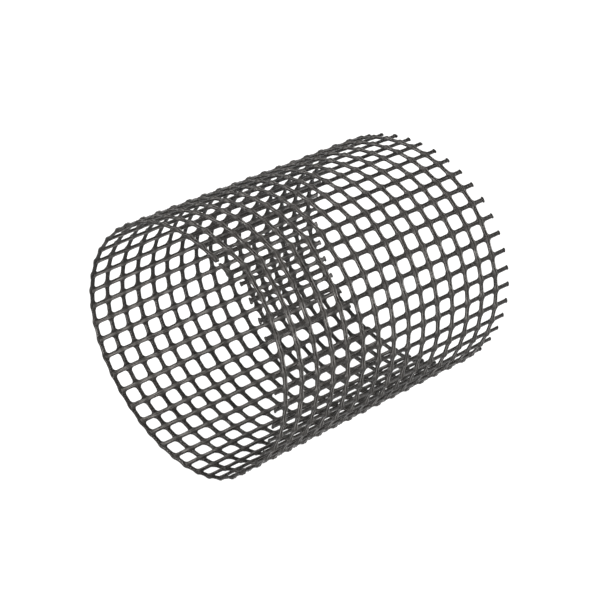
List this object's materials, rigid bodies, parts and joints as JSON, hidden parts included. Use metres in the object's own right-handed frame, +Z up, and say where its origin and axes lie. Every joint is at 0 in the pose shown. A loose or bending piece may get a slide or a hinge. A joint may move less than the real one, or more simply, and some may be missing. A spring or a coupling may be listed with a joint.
{
  "type": "tree guard tube",
  "caption": "Short open tube of dark square-mesh plastic netting that stands round a tree trunk, with one clean rim and uneven strand stubs at the other end.",
  "frame": {"origin": "centre of the bounding box's bottom face, under the middle of the lying tube, on the surface it rests on", "axes": "+X along the tube's axis, from the clean rim end to the end with the strand stubs; +Z up; +Y to the far side, away from the cut in the rim hoop"},
  "size_m": [0.182, 0.1562, 0.15],
  "materials": {
    "netting": "satin charcoal-black extruded polyethylene, slightly uneven surface"
  },
  "bodies": {
    "root": {"hoop_01": "netting", "hoop_02": "netting", "hoop_03": "netting", "hoop_04": "netting", "hoop_05": "netting", "hoop_06": "netting", "hoop_07": "netting", "hoop_08": "netting", "hoop_09": "netting", "hoop_10": "netting", "hoop_11": "netting", "hoop_12": "netting", "hoop_13": "netting", "hoop_14": "netting", "hoop_15": "netting", "hoop_16": "netting", "strand_01": "netting", "strand_02": "netting", "strand_03": "netting", "strand_04": "netting", "strand_05": "netting", "strand_06": "netting", "strand_07": "netting", "strand_08": "netting", "strand_09": "netting", "strand_10": "netting", "strand_11": "netting", "strand_12": "netting", "strand_13": "netting", "strand_14": "netting", "strand_15": "netting", "strand_16": "netting", "strand_17": "netting", "strand_18": "netting", "strand_19": "netting", "strand_20": "netting", "strand_21": "netting", "strand_22": "netting", "strand_23": "netting", "strand_24": "netting", "strand_25": "netting", "strand_26": "netting", "strand_27": "netting", "strand_28": "netting", "strand_29": "netting", "strand_30": "netting", "strand_31": "netting", "strand_32": "netting", "strand_33": "netting", "strand_34": "netting", "strand_35": "netting", "strand_36": "netting", "strand_37": "netting", "strand_38": "netting", "strand_39": "netting", "strand_40": "netting", "strand_41": "netting", "strand_42": "netting", "strand_43": "netting", "strand_44": "netting"}
  },
  "joints": []
}
